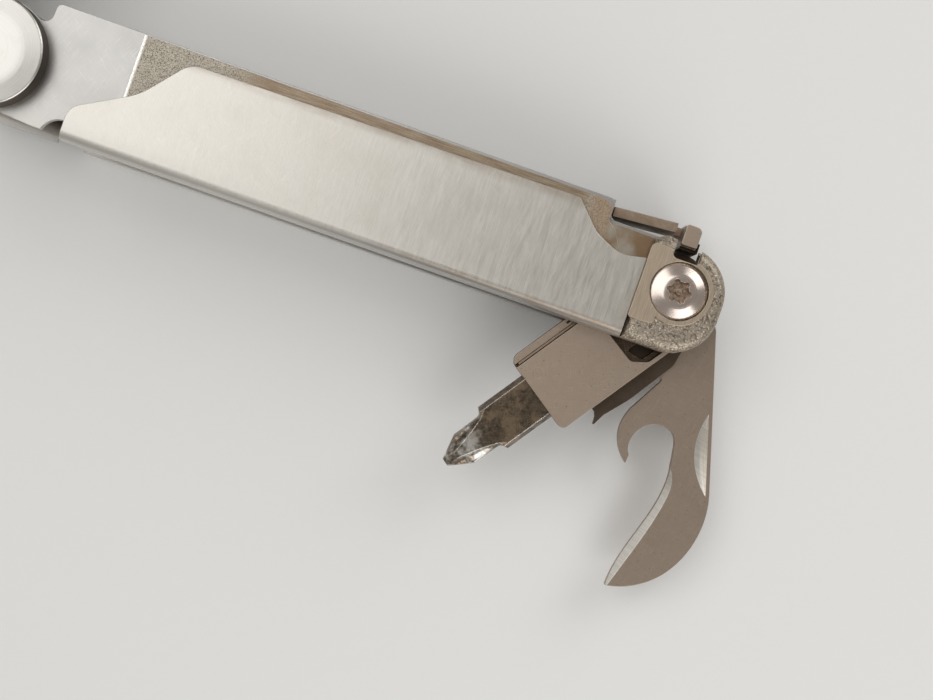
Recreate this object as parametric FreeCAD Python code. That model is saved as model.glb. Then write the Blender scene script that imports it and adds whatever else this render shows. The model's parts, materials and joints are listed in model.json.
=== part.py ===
"""Full-size folding multi tool: two folded-sheet handles round a needle-nose plier head, with outer blades
in a pocket on each side of a handle and inner tools in its channel.

Millimetres.  A handle's own frame has its tool pivot on the Z axis, +X towards the tool end, +Y towards its
closed back, and z = 0 in the middle of its thickness.  A tool's own frame has +X along the tool and +Y
towards the handle's open mouth when the tool is stowed.  The plier head's own frame has the plier rivet on
the Z axis and its nose along -X.
"""
import FreeCAD
import Part
import math
import os

from FreeCAD import Matrix, Rotation, Vector

# ---------------------------------------------------------------- driving dimensions
PIVOT_SPAN = 100.5        # tool pivot to plier pivot
CHANNEL = 8.4             # inner width between the two walls
WALL = 1.2                # sheet thickness of the walls and the back
POCKET = 2.6              # depth of each outer blade pocket
PANEL = 1.0               # sheet thickness of the folded-over side panels
BACK = 9.5                # closed back, from the pivot line
MOUTH = 8.5               # open mouth, from the pivot line
BOLSTER_PROUD = 0.3       # bolsters and pivot caps stand this far above the panels
MOUTH_GAP = 0.1           # half the gap between the two mouths when closed
RIVET_AHEAD = 12.3        # plier rivet ahead of the plier pivots
SPLAY = 16.0              # each handle's lean away from the plier axis with the jaws shut, degrees
JAW_OPEN = 19.0           # how far the jaws stand open at rest, degrees

TOOL_POST_R = 2.5         # post that carries the inner tools and outer blades
PLIER_POST_R = 3.0        # post that joins a handle to the plier head
FIT = 0.05                # running clearance on a radius
BLADE_GAP = 0.15          # side clearance of an outer blade in its pocket
TANG_R = 6.0              # round tang of every inner tool and outer blade
END_R = 6.5               # round end of the handle at the tool pivot
EYE_R = 7.9               # round end of the handle at the plier pivot
CAP_R = 7.75              # smooth round cap on each plier pivot
COUNTERBORE_FIT = 0.12    # clearance round a button head in its bolster
LEVER_THICK = 1.35        # leaf of a lock lever
LEVER_SIDE_GAP = 0.25     # between its leaf and the handle's walls

SCREW_HEAD_R = 3.95       # button head of the tool pivot screw
SOCKET_R = 1.75           # six-lobe socket, out to the lobes
SHANK_R = 1.85            # its threaded shank
SHANK_LENGTH = 7.0
BIT_WIDTH = 7.2           # flat double-ended bit, across the corners of its 6.35 mm hexagon stock
BIT_FACE = 5.9            # width of its flat face
BIT_THICK = 3.18
BIT_ASIDE = 0.45          # how far the bit sits from the tool's centre line, towards the mouth
BIT_LENGTH = 28.0
BIT_OUT = 16.0            # how much of the bit stands out of the driver

DRIVER_THICK = 4.7        # inner tools of handle A, across their stack
SMALL_DRIVER_THICK = 1.5
OPENER_THICK = 1.8
AWL_THICK = 2.0           # inner tools of handle B
LARGE_DRIVER_THICK = 2.4
MEDIUM_DRIVER_THICK = 1.8
RING_THICK = 1.5
DRIVER_LENGTH = 24.0      # bit driver, from its pivot to its open end
DRIVER_BACK = -6.0        # flanks of the bit driver
DRIVER_FRONT = 6.3
COVER_THICK = 0.75        # cheek plate over the bit's socket
FLOOR_THICK = 0.65        # floor under it
SMALL_DRIVER_LENGTH = 23.2
LARGE_DRIVER_LENGTH = 38.0
LARGE_DRIVER_WIDTH = 6.2
MEDIUM_DRIVER_LENGTH = 33.0
MEDIUM_DRIVER_WIDTH = 3.6
TOOL_SIDE = 7.2           # nail-nick edge of the long inner tools, from the pivot line
DRIVER_EDGE = 0.6         # working thickness of a flat screwdriver's tip
RING_EYE_R = 2.5          # lanyard hole

DRIVER_ANGLE = 55.4       # rest angles of handle A's inner tools, from stowed, degrees
SMALL_DRIVER_ANGLE = 58.0
OPENER_ANGLE = 107.0
LANYARD_ANGLE = 150.0     # rest angle of handle B's lanyard ring
LOCK_LIFT = 4.7           # slope of a lock lever while its tools are part open, degrees

JAW_THICK = 8.2
NOSE_LENGTH = 43.6        # plier rivet to the tip of the nose
NOSE_TIP_THICK = 4.2
LAP = 0.03                # half the gap between the two laps of the plier joint
LAP_R = 8.4               # round lap of each jaw
PLIER_ARM_R = 6.9         # round end of each plier arm
RIVET_R = 2.2
RIVET_HEAD_R = 2.6
RIVET_PROUD = 0.06        # how far the rivet's heads stand out of the laps
RIVET_SINK = 0.8          # depth of the round recess each head sits in

BLADE_SHORT = 16.5        # knives and saw stop this far short of the plier pivot
FILE_SHORT = 19.6         # the same for the file
SAW_THIN = 0.35           # the saw is thinner than its pocket allows by this much on each side
FILE_THIN = 0.3           # the same for the file's ground tang
SAW_PITCH = 2.6
SAW_DEPTH = 2.1
SERRATION_PITCH = 3.2
SERRATION_R = 1.55
NOSE_TOOTH_PITCH = 1.1

# ---------------------------------------------------------------- places that follow from them
WALL_IN = CHANNEL / 2
WALL_OUT = WALL_IN + WALL
PANEL_IN = WALL_OUT + POCKET
PANEL_OUT = PANEL_IN + PANEL
HALF_THICKNESS = PANEL_OUT + BOLSTER_PROUD
JAW_SIDE = MOUTH + MOUTH_GAP          # plier axis to a plier pivot, measured across
PLIER_X = -PIVOT_SPAN
BOLSTER_LEFT = -5.6                   # straight edge where the panel stops and the bolster starts
BACK_FRONT = PLIER_X + 6.2            # front end of the closed back
BACK_REAR = -12.0                     # rear end of the closed back, where the lock lever starts
END_DROP = MOUTH - END_R              # lower centre of the handle's round end
HEAD_SEAT = PANEL_IN + 0.37           # underside of a tool pivot's two heads
BLADE_TOP = PANEL_IN - BLADE_GAP      # faces of an outer blade
BLADE_LOW = WALL_OUT + BLADE_GAP
BLADE_LENGTH = PIVOT_SPAN - BLADE_SHORT
FILE_LENGTH = PIVOT_SPAN - FILE_SHORT
LEVER_LOW = BACK - 2.2                # underside of a lock lever's leaf
LEVER_WINDOW = [(-2.45, END_R + 2), (-2.45, 4.15, 0.6), (1.35, 4.15, 0.6), (1.35, END_R + 2)]
DRIVER_WINDOW = [(10.8, -1.2, 0.4), (10.6, 4.2, 1.1), (8.6, 5.75, 1.1), (3.0, 5.8), (3.0, -1.2)]

X, Y, Z = Vector(1, 0, 0), Vector(0, 1, 0), Vector(0, 0, 1)
ORIGIN = Vector(0, 0, 0)


# ---------------------------------------------------------------- shape helpers
def outline(corners):
    """A closed wire through (x, y) or (x, y, radius) corners, each rounded by its radius."""
    count = len(corners)
    ends = []
    for i in range(count):
        here = Vector(corners[i][0], corners[i][1], 0)
        before = Vector(corners[i - 1][0], corners[i - 1][1], 0)
        after = Vector(corners[(i + 1) % count][0], corners[(i + 1) % count][1], 0)
        radius = corners[i][2] if len(corners[i]) > 2 else 0
        back, ahead = (before - here).normalize(), (after - here).normalize()
        turn = math.pi - back.getAngle(ahead)
        if not radius or turn < 1e-4:
            ends.append((here, None, here))
            continue
        reach = radius * math.tan(turn / 2)
        middle = (back + ahead).normalize()
        bulge = here + middle * (radius / math.cos(turn / 2) - radius)
        ends.append((here + back * reach, bulge, here + ahead * reach))
    edges = []
    for i in range(count):
        start, bulge, end = ends[i]
        if bulge is not None:
            edges.append(Part.Arc(start, bulge, end).toShape())
        following = ends[(i + 1) % count][0]
        if (following - end).Length > 1e-6:
            edges.append(Part.LineSegment(end, following).toShape())
    return Part.Wire(edges)


def curved(runs):
    """A closed wire of runs of points: a run of two is straight, and a longer one is a smooth curve."""
    edges = []
    for run in runs:
        points = [Vector(x, y, 0) for x, y in run]
        if len(points) == 2:
            edges.append(Part.LineSegment(*points).toShape())
        else:
            curve = Part.BSplineCurve()
            curve.interpolate(points)
            edges.append(curve.toShape())
    return Part.Wire(edges)


def plate(corners, bottom, top):
    """A flat plate with that outline, between two heights."""
    return slab(outline(corners), bottom, top)


def slab(wire, bottom, top):
    """The same from a closed wire."""
    face = Part.Face(wire)
    face.translate(Z * bottom)
    return face.extrude(Z * (top - bottom))


def disc(x, y, radius, bottom, top):
    """An upright cylinder."""
    return Part.makeCylinder(radius, top - bottom, Vector(x, y, bottom))


def block(x0, x1, y0, y1, z0, z1):
    """A box between those planes."""
    return Part.makeBox(x1 - x0, y1 - y0, z1 - z0, Vector(x0, y0, z0))


def bar(section, x0, x1):
    """A (y, z) section carried along X."""
    face = Part.Face(outline(section))
    face.transformShape(Matrix(0, 0, 1, 0, 1, 0, 0, 0, 0, 1, 0, 0, 0, 0, 0, 1))
    face.translate(X * x0)
    return face.extrude(X * (x1 - x0))


def turned(profile, x=0.0, y=0.0):
    """A solid of revolution about the vertical line at (x, y), from (radius, height) corners."""
    face = Part.Face(outline(profile))
    face.rotate(ORIGIN, X, 90)
    solid = face.revolve(ORIGIN, Z, 360)
    solid.translate(Vector(x, y, 0))
    return solid


def flipped(shape):
    """The same piece on the other side of the mid-plane."""
    return shape.mirror(ORIGIN, Z)


def softened(shape, radius, wanted):
    """Rounds the edges that wanted(edge) picks."""
    edges = [e for e in shape.Edges if wanted(e)]
    return shape.makeFillet(radius, edges) if edges else shape


def on_level(edge, height):
    """True for an edge that lies flat at that height."""
    box = edge.BoundBox
    return abs(box.ZMin - height) < 1e-4 and abs(box.ZMax - height) < 1e-4


def one(shape):
    """The shape as a clean single solid, or a compound of its solids."""
    solids = shape.removeSplitter().Solids
    return solids[0] if len(solids) == 1 else Part.makeCompound(solids)


# ---------------------------------------------------------------- where things stand
def in_handle_a(shape):
    """From handle A's frame to the row frame."""
    shape = shape.copy()
    shape.translate(Z * HALF_THICKNESS)
    return shape


RIVET = Rotation(Z, SPLAY).multVec(Vector(-RIVET_AHEAD, JAW_SIDE, 0)) + X * PLIER_X


def in_jaw_a(shape):
    """From the plier head's frame to the row frame."""
    shape = shape.copy()
    shape.rotate(ORIGIN, Z, SPLAY)
    shape.translate(RIVET + Z * HALF_THICKNESS)
    return shape


def in_jaw_b(shape):
    """The same for the other jaw, which is the first one turned over and swung open."""
    shape = shape.copy()
    shape.rotate(ORIGIN, X, 180)
    shape.rotate(ORIGIN, Z, JAW_OPEN)
    return in_jaw_a(shape)


def in_handle_b(shape):
    """From handle B's own frame: handle A's arrangement turned over about the plier axis."""
    shape = shape.copy()
    shape.translate(X * PIVOT_SPAN)
    shape.rotate(ORIGIN, Z, -SPLAY)
    shape.translate(Vector(RIVET_AHEAD, -JAW_SIDE, 0))
    return in_jaw_b(shape)


def swung(tool, angle):
    """From a tool's frame to its handle's, opened by that angle through the mouth."""
    tool = tool.copy()
    tool.rotate(ORIGIN, Z, 180 + angle)
    return tool


# ---------------------------------------------------------------- handle
def wall_plate(near):
    """One wall of the handle's channel, with its two round ends; the near one is relieved at its front."""
    relief = 0.6
    eye = disc(PLIER_X, 0, EYE_R, WALL_IN, WALL_OUT)
    if near:
        lower = [
            (PLIER_X + 12, -MOUTH), (PLIER_X + 11.9, -EYE_R),
            (PLIER_X + 8, -EYE_R), (PLIER_X, relief - EYE_R),
        ]
        eye = eye.common(block(PLIER_X - EYE_R, 0, relief - EYE_R, EYE_R, WALL_IN, WALL_OUT))
    else:
        lower = [(PLIER_X - 2.6, -MOUTH, 5.0), (PLIER_X - 6.0, -4.6)]
    corners = [
        (BACK_FRONT, BACK, 0.8), (BACK_REAR, BACK, 0.8), (BACK_REAR, END_R + 0.1, 0.8),
        (-2.6, END_R + 0.1), (0, END_R), (0, -MOUTH),
    ] + lower + [(PLIER_X + 4.3, 6.65), (BACK_FRONT - 0.2, 5.9, 1.2)]
    wall = plate(corners, WALL_IN, WALL_OUT)
    return wall.fuse([
        eye,
        disc(0, 0, END_R, WALL_IN, WALL_OUT),
        disc(0, -END_DROP, END_R, WALL_IN, WALL_OUT),
        block(0, END_R, -END_DROP, 0, WALL_IN, WALL_OUT),
    ])


def panel_outline():
    """The wavy side panel, from its front lobe to the bolster, with the fold at the mouth."""
    front = PLIER_X + 13.3
    end = BOLSTER_LEFT - 0.05
    return [
        (front, -MOUTH - 1), (front, -3.9, 2.6), (PLIER_X + 21.9, 0.9, 10), (PLIER_X + 27.2, 7.2, 3.5),
        (-17.0, 7.7, 0.9), (-15.3, 5.9, 3.0), (-13.3, 3.9, 4.0), (-9.4, 2.1, 4.5),
        (end, 2.9), (end, -MOUTH - 1),
    ]


def handle_shell():
    """One sheet: back, two walls, and each wall folded outwards at the mouth into a side panel."""
    section = [
        (BACK, WALL_IN), (BACK, WALL_OUT), (-MOUTH + PANEL, WALL_OUT, 0.3), (-MOUTH + PANEL, PANEL_IN, 0.5),
        (BACK, PANEL_IN), (BACK, PANEL_OUT), (-MOUTH, PANEL_OUT, 1.3), (-MOUTH, WALL_IN, 0.7),
    ]
    folded = bar(section, PLIER_X - EYE_R - 1, END_R + 1)
    sides = []
    for near in (True, False):
        panel = plate(panel_outline(), WALL_OUT, PANEL_OUT + 1)
        half = folded.common(panel).fuse(wall_plate(near))
        half = half.cut([
            disc(PLIER_X + RIVET_AHEAD, -JAW_SIDE, 2.9, WALL_IN - 1, WALL_OUT),
            disc(PLIER_X, 0, PLIER_POST_R + FIT, WALL_IN - 1, PANEL_OUT),
            disc(0, 0, TOOL_POST_R + FIT, WALL_IN - 1, PANEL_OUT),
            plate(LEVER_WINDOW, WALL_IN - 1, PANEL_OUT),
            spring_slit(),
        ])
        sides.append(half if near else flipped(half))
    back = block(BACK_FRONT, BACK_REAR, BACK - WALL, BACK, -WALL_IN - WALL / 2, WALL_IN + WALL / 2)
    return one(sides[0].fuse([sides[1], back]))


def spring_slit():
    """The slit that frees a wall's spring tongue, which locks the outer blade open."""
    low, high = WALL_IN - 1, WALL_OUT + 0.01
    outer = plate([(-34, -5.4, 0.8), (-34, -1.0, 0.8), (-8.5, 1.8, 1), (-8.5, -4.6, 1)], low, high)
    inner = plate([(-35, -4.9, 0.8), (-35, -1.5, 0.8), (-9.0, 1.2, 1), (-9.0, -4.1, 1)], low, high)
    return outer.cut(inner)


def bolster_block(bottom, top):
    """The bolster's outline: straight towards the panel, round at the tool end, with a lug at the back."""
    body = plate([
        (BOLSTER_LEFT, -MOUTH), (0, -MOUTH), (0, -END_DROP), (END_R, -END_DROP), (END_R, 0), (0, 0),
        (0, END_R), (-2.6, END_R + 0.35, 0.5), (-3.7, END_R + 0.5, 0.8), (BOLSTER_LEFT, 6.0, 0.6),
    ], bottom, top)
    body = body.fuse([disc(0, 0, END_R, bottom, top), disc(0, -END_DROP, END_R, bottom, top)])
    return body.common(bolster_limits(bottom, top)).removeSplitter()


def bolster_limits(bottom, top):
    """The room a bolster may fill."""
    return block(BOLSTER_LEFT, END_R, -MOUTH, END_R + 1, bottom, top)


def bolster_pad(bottom, top):
    """The flat pad round the screw that carries on from the panel."""
    pad = plate([
        (BOLSTER_LEFT, -5.5, 0.4), (-2.0, -5.4, 0.5), (-2.0, -4.0), (2.6, -3.2), (4.4, 0), (3.4, 3.3, 1),
        (-2.4, 4.3, 0.6), (-2.7, 5.3, 0.8), (BOLSTER_LEFT, 5.3, 0.8),
    ], bottom, top)
    pad = pad.fuse(disc(0, 0, SCREW_HEAD_R + 0.75, bottom, top))
    return pad.common(bolster_limits(bottom, top)).removeSplitter()


def bolster():
    """Cast cap over the outer blade's tang, on the near side: a flat pad with a rounded border."""
    border = HALF_THICKNESS - 0.22
    border_round = 1.5

    def outer(edge):
        box = edge.BoundBox
        return on_level(edge, border) and box.XMax > BOLSTER_LEFT + 0.1 and box.YMin < END_R - 0.1

    cap = softened(bolster_block(WALL_OUT, border), border_round, outer)
    cap = cap.fuse(bolster_pad(border - 0.6, HALF_THICKNESS))
    low, high = WALL_OUT - 1, HALF_THICKNESS + 1
    return one(cap.cut([
        disc(0, 0, TANG_R + 0.5, low, PANEL_IN),
        block(BOLSTER_LEFT - 1, END_R + 1, -END_DROP - 4.6, END_R + 2, low, PANEL_IN),
        block(2.0, END_R + 1, -MOUTH - 1, 0, low, PANEL_IN),
        plate(LEVER_WINDOW, low, high),
        disc(0, 0, SCREW_HEAD_R + COUNTERBORE_FIT, HEAD_SEAT - 0.02, high),
        disc(0, 0, TOOL_POST_R + FIT, low, high),
    ]))


def six_lobe(radius, bottom, top):
    """A six-lobe socket as a solid to cut away."""
    lobe = radius * 0.24
    core = disc(0, 0, radius * 0.78, bottom, top)
    lobes = []
    for k in range(6):
        angle = math.radians(60 * k)
        reach = radius - lobe
        lobes.append(disc(reach * math.cos(angle), reach * math.sin(angle), lobe, bottom, top))
    return core.fuse(lobes).removeSplitter()


def tool_screw():
    """Button-head screw with a pinned six-lobe socket and its threaded shank."""
    crown = HALF_THICKNESS - 0.04
    rim = HEAD_SEAT + 0.3
    socket_floor = HEAD_SEAT - 0.9
    head = turned([
        (0, HEAD_SEAT), (SCREW_HEAD_R, HEAD_SEAT), (SCREW_HEAD_R, rim, 0.12), (2.1, crown, 2.4), (0, crown),
    ])
    shank = disc(0, 0, SHANK_R, HEAD_SEAT - SHANK_LENGTH, HEAD_SEAT + 0.1)
    socket = six_lobe(SOCKET_R, socket_floor, crown + 1)
    pin = disc(0, 0, 0.4, socket_floor - 0.1, crown - 0.3)
    return one(head.fuse(shank).cut(socket).fuse(pin))


def tool_post():
    """Barrel nut that all the tools of one handle turn on, with a flat head on the far side."""
    barrel = turned([
        (0, -HALF_THICKNESS), (SCREW_HEAD_R, -HALF_THICKNESS, 0.2), (SCREW_HEAD_R, -HEAD_SEAT),
        (TOOL_POST_R, -HEAD_SEAT), (TOOL_POST_R, HEAD_SEAT - 0.02), (0, HEAD_SEAT - 0.02),
    ])
    return one(barrel.cut(disc(0, 0, SHANK_R + FIT, HEAD_SEAT - SHANK_LENGTH - 0.5, HEAD_SEAT + 1)))


def cap_profile(seat):
    """Half section of a smooth, slightly domed pivot cap."""
    crown = HALF_THICKNESS - 0.02
    return [
        (0, seat), (CAP_R - 0.2, seat), (CAP_R, seat + 0.4, 0.2), (CAP_R, crown - 0.5, 0.4),
        (CAP_R * 0.62, crown - 0.04, 8.0), (0, crown),
    ]


def plier_post():
    """Post through the handle's eyes and the plier arm, with the far cap made on it."""
    cap = flipped(turned(cap_profile(WALL_OUT + 0.02)))
    shaft = disc(0, 0, PLIER_POST_R, -WALL_OUT - 0.5, PANEL_IN - 0.3)
    post = one(cap.fuse(shaft))
    post.translate(X * PLIER_X)
    return post


def plier_cap():
    """Near cap, pressed on the end of the post."""
    cap = turned(cap_profile(WALL_OUT + 0.02)).cut(disc(0, 0, PLIER_POST_R, WALL_OUT - 1, PANEL_IN - 0.3))
    cap.translate(X * PLIER_X)
    return one(cap)


def lock_lever():
    """Leaf in the back that drops into the tangs' notches when a tool is open, with a cross bar to lift."""
    start, end = BACK_REAR + 0.3, -0.6
    high = LEVER_LOW + LEVER_THICK
    leaf = plate([(start, LEVER_LOW), (end, LEVER_LOW), (end, high), (start, high)],
                 LEVER_SIDE_GAP - WALL_IN, WALL_IN - LEVER_SIDE_GAP)
    leaf.rotate(Vector(BACK_REAR, LEVER_LOW, 0), Z, LOCK_LIFT)
    tab = plate([
        (-1.5, END_R + 0.15, 0.25), (0.75, END_R + 0.15, 0.25),
        (0.75, BACK + 0.1, 0.7), (-1.5, BACK + 0.1, 0.35),
    ], -WALL_OUT, WALL_OUT)
    side = WALL_IN - LEVER_SIDE_GAP
    hook = block(-1.45, 1.2, TANG_R + 0.15, LEVER_LOW + 0.3, -side, side)
    through = block(-2.6, -1.55, LEVER_LOW - 1, BACK + 1, 0, WALL_OUT)
    groove = block(-2.6, -1.55, BACK - 0.15, BACK + 1, -WALL_OUT, 0)
    return one(leaf.cut([through, groove]).fuse([tab, hook]))


# ---------------------------------------------------------------- tools, each in its own frame
def tang_hole(bottom, top):
    return disc(0, 0, TOOL_POST_R + FIT, bottom - 1, top + 1)


def lock_notch(bottom, top):
    """Where the lock lever's hook drops in when the tool is fully open."""
    floor, out = TANG_R - 1.5, TANG_R + 3
    return plate([(-1.25, floor, 0.3), (-1.25, out), (1.25, out), (1.25, floor, 0.3)], bottom - 1, top + 1)


def cam_flat(bottom, top):
    """The flat on the driver's tang under the lock lever's window while the driver is part open."""
    flat = block(4.3, 9, -3.6, 3.6, bottom - 1, top + 1)
    flat.rotate(ORIGIN, Z, 96 - 180 - DRIVER_ANGLE)
    return flat


def stacked(thicknesses):
    """(bottom, top) of each tool in the channel, from the near wall down, spread evenly."""
    gap = (CHANNEL - sum(thicknesses)) / (len(thicknesses) + 1)
    levels, top = [], WALL_IN
    for thick in thicknesses:
        top -= gap
        levels.append((top - thick, top))
        top -= thick
    return levels


DRIVER_LEVEL, SMALL_LEVEL, OPENER_LEVEL = stacked([DRIVER_THICK, SMALL_DRIVER_THICK, OPENER_THICK])
AWL_LEVEL, LARGE_LEVEL, MEDIUM_LEVEL, RING_LEVEL = stacked(
    [AWL_THICK, LARGE_DRIVER_THICK, MEDIUM_DRIVER_THICK, RING_THICK])
SOCKET_MIDDLE = (sum(DRIVER_LEVEL) + FLOOR_THICK - COVER_THICK) / 2     # height of the bit's mid-plane
BIT_TAIL = DRIVER_LENGTH - BIT_LENGTH + BIT_OUT
BIT_TIP = BIT_TAIL + BIT_LENGTH


def driver_body():
    """Bit driver: tang, floor and flanks, with the flat socket between them."""
    low, high = DRIVER_LEVEL
    deck = high - COVER_THICK
    body = plate([
        (0, DRIVER_BACK), (DRIVER_LENGTH, DRIVER_BACK, 1.4),
        (DRIVER_LENGTH, DRIVER_FRONT, 0.8), (0, DRIVER_FRONT),
    ], low, deck)
    body = body.fuse(disc(0, 0, TANG_R, low, deck)).removeSplitter()
    body = with_flank(body, deck - 1, high - 0.15)
    socket = bit_section(FIT, BIT_TAIL - 0.3, DRIVER_LENGTH + 1)
    socket.translate(Vector(0, BIT_ASIDE, SOCKET_MIDDLE))
    groove = block(9, DRIVER_LENGTH + 1, -4.96, -4.5, deck - 1.6, deck + 0.01)
    leaf_slot = plate([(6, -5.6), (14.6, -5.6, 0.15), (14.6, -5.3, 0.15), (6, -5.3)], deck - 1.2, high + 1)
    window = plate(DRIVER_WINDOW, deck - 2.3, high + 1).cut(disc(0, 0, TANG_R + 0.1, low, high + 1))
    through = plate([(6.4, 2.8, 0.3), (9.8, 2.8, 0.3), (8.9, 5.1, 0.5), (6.4, 5.1, 0.3)], low - 1, high)
    openings = [socket, groove, leaf_slot, window, through, cam_flat(low, high)]
    return one(body.cut(openings + [tang_hole(low, high), lock_notch(low, high)]))


def with_flank(body, bottom, top):
    """The driver with the raised flank along its back, rounded on its outer edge."""
    flank = plate([(8, DRIVER_BACK), (DRIVER_LENGTH, DRIVER_BACK, 1.4), (DRIVER_LENGTH, -4.95), (8, -4.95)],
                  bottom, top)

    def outer(edge):
        return on_level(edge, top) and abs(edge.BoundBox.YMax - DRIVER_BACK) < 1e-3

    return softened(body.fuse(flank), 0.75, outer)


def bit_section(spare, x0, x1):
    """The bit's six-sided section carried along X, with a clearance all round."""
    half = BIT_WIDTH / 2 + spare
    face = BIT_FACE / 2 + spare
    thin = BIT_THICK / 2 + spare
    return bar([(-half, 0), (-face, -thin), (face, -thin), (half, 0), (face, thin), (-face, thin)], x0, x1)


def driver_cover():
    """Near cheek plate, welded over the driver's socket."""
    low, high = DRIVER_LEVEL
    deck = high - COVER_THICK
    cover = plate([
        (0, -4.5), (DRIVER_LENGTH, -4.5, 0.3), (DRIVER_LENGTH, DRIVER_FRONT, 0.8), (0, DRIVER_FRONT),
    ], deck, high)
    cover = cover.fuse(disc(0, 0, TANG_R, deck, high)).removeSplitter()
    keep_off = block(-8, 8.5, -7, -4.5, deck - 1, high + 1).cut(disc(0, 0, TANG_R, deck - 1, high + 1))
    window = plate(DRIVER_WINDOW, deck - 1, high + 1)
    flat = cam_flat(low, high)
    return one(cover.cut([keep_off, window, flat, tang_hole(low, high), lock_notch(low, high)]))


def bit_spring():
    """Leaf beside the socket that grips the bit's flank."""
    deck = DRIVER_LEVEL[1] - COVER_THICK
    start, end = 9.4, DRIVER_LENGTH - 0.6
    return plate([(start, -4.9), (end, -4.9), (end, -4.6), (start, -4.6)], deck - 1.55, deck - 0.1)


def screwdriver_bit():
    """Flat bit: a cross-point tip outside, a flat-blade tip inside the socket."""
    neck = BIT_TIP - 7.8
    bit = turned([
        (0, BIT_TAIL - 1), (4, BIT_TAIL - 1), (4, neck - 0.7), (2.55, neck, 0.8), (2.5, neck + 4.5, 0.8),
        (0.62, BIT_TIP), (0, BIT_TIP),
    ])
    bit.rotate(ORIGIN, Y, 90)
    bit = bit.common(bit_section(0, BIT_TAIL, BIT_TIP))
    cuts = [bit_flute(45 + 90 * k) for k in range(4)] + [flat_tip_cut(side) for side in (1, -1)]
    bit = bit.cut(cuts)
    bit.translate(Vector(0, BIT_ASIDE, SOCKET_MIDDLE))
    return one(bit)


def bit_flute(turn):
    """One hollow between two wings of the cross point, running out towards the neck."""
    flute = Part.makeCylinder(1.55, 14, Vector(BIT_TIP + 1, 0, 2.2), Vector(-11, 0, 2.5))
    flute.rotate(ORIGIN, X, turn)
    return flute


def flat_tip_cut(side):
    """The wedge that grinds one face of the flat-blade tip."""
    heel = BIT_TAIL + 4.2
    wedge = plate([
        (BIT_TAIL - 1, side * 0.35), (heel, side * (BIT_THICK / 2 + 0.05)),
        (heel, side * 4), (BIT_TAIL - 1, side * 4),
    ], -5, 5)
    wedge.rotate(ORIGIN, X, 90)
    return wedge


def small_screwdriver():
    """Short flat-blade driver with a hooked nail tail along its open side."""
    low, high = SMALL_LEVEL
    end = SMALL_DRIVER_LENGTH
    body = plate([
        (0, -5.2), (11, -5.2, 2), (15.0, -1.5, 3), (end, -0.6, 0.3), (end, 2.4, 0.3), (18.8, 4.2, 1.5),
        (18.9, 6.4, 0.3), (19.3, 7.0, 0.2), (20.45, 7.8, 0.1), (18.2, 7.6, 1.5), (13.8, 8.2, 12),
        (6.0, 8.35, 3), (0, TANG_R),
    ], low, high)
    body = body.fuse(disc(0, 0, TANG_R, low, high)).removeSplitter()
    cuts = blade_tip(low, high, end, 6.0)
    return one(body.cut(cuts + [tang_hole(low, high), lock_notch(low, high)]))


def blade_tip(low, high, reach, run):
    """The two wedges that grind a flat-blade tip to its working thickness."""
    middle, half = (low + high) / 2, (high - low) / 2
    rise = math.degrees(math.atan((half - DRIVER_EDGE / 2) / run))
    wedges = []
    for side in (1, -1):
        wedge = block(0, run + 4, -14, 14, 3 * side - 3, 3 * side + 3)
        wedge.rotate(ORIGIN, Y, side * rise)
        wedge.translate(Vector(reach - run, 0, middle + side * half))
        wedges.append(wedge)
    return wedges


def nail_nick(x0, x1, y, top, depth, reach=1.4):
    """A crescent nick for a fingernail: steep along y, running out towards the edge."""
    half = (x1 - x0) / 2
    radius = (half * half + depth * depth) / (2 * depth)
    cutter = Part.makeCylinder(radius, reach * 2, Vector(0, 0, radius), Vector(0, -1, 0))
    cutter.rotate(ORIGIN, X, -math.degrees(math.atan(depth / reach)))
    cutter.translate(Vector((x0 + x1) / 2, y, top - depth))
    return cutter


def can_opener():
    """Hooked can and bottle opener with a wire-stripping notch in its back edge."""
    low, high = OPENER_LEVEL
    spine = 7.1
    body = slab(curved([
        [(0, -5.2), (9.4, -5.6)], [(9.4, -5.6), (11.9, -0.9)], [(11.9, -0.9), (12.2, -0.45), (12.7, -0.65)],
        [(12.7, -0.65), (16.6, -4.7)], [(16.6, -4.7), (20.4, -6.4), (24.5, -5.2)],
        [(24.5, -5.2), (23.3, -4.75)],
        [(23.3, -4.75), (20.6, -4.35), (18.8, -1.4), (20.0, 1.5), (22.8, 1.7), (25.6, 1.3)],
        [(25.6, 1.3), (29.3, 0.0), (33.2, -2.3), (42.2, -7.4)],
        [(42.2, -7.4), (42.3, -4.7), (40.7, 0.3), (34.8, 5.6), (28.6, spine)],
        [(28.6, spine), (5.0, spine)], [(5.0, spine), (0, TANG_R)], [(0, TANG_R), (0, -5.2)],
    ]), low, high)
    body = body.fuse(disc(0, 0, TANG_R, low, high)).removeSplitter()
    nick = nail_nick(17.3, 28.6, 6.2, high, 0.75, 1.5)
    return one(body.cut([edge_grind(high), nick, tang_hole(low, high), lock_notch(low, high)]))


def smooth(points):
    """A smooth curve through those points, as a wire."""
    curve = Part.BSplineCurve()
    curve.interpolate(points)
    return Part.Wire(curve.toShape())


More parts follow.
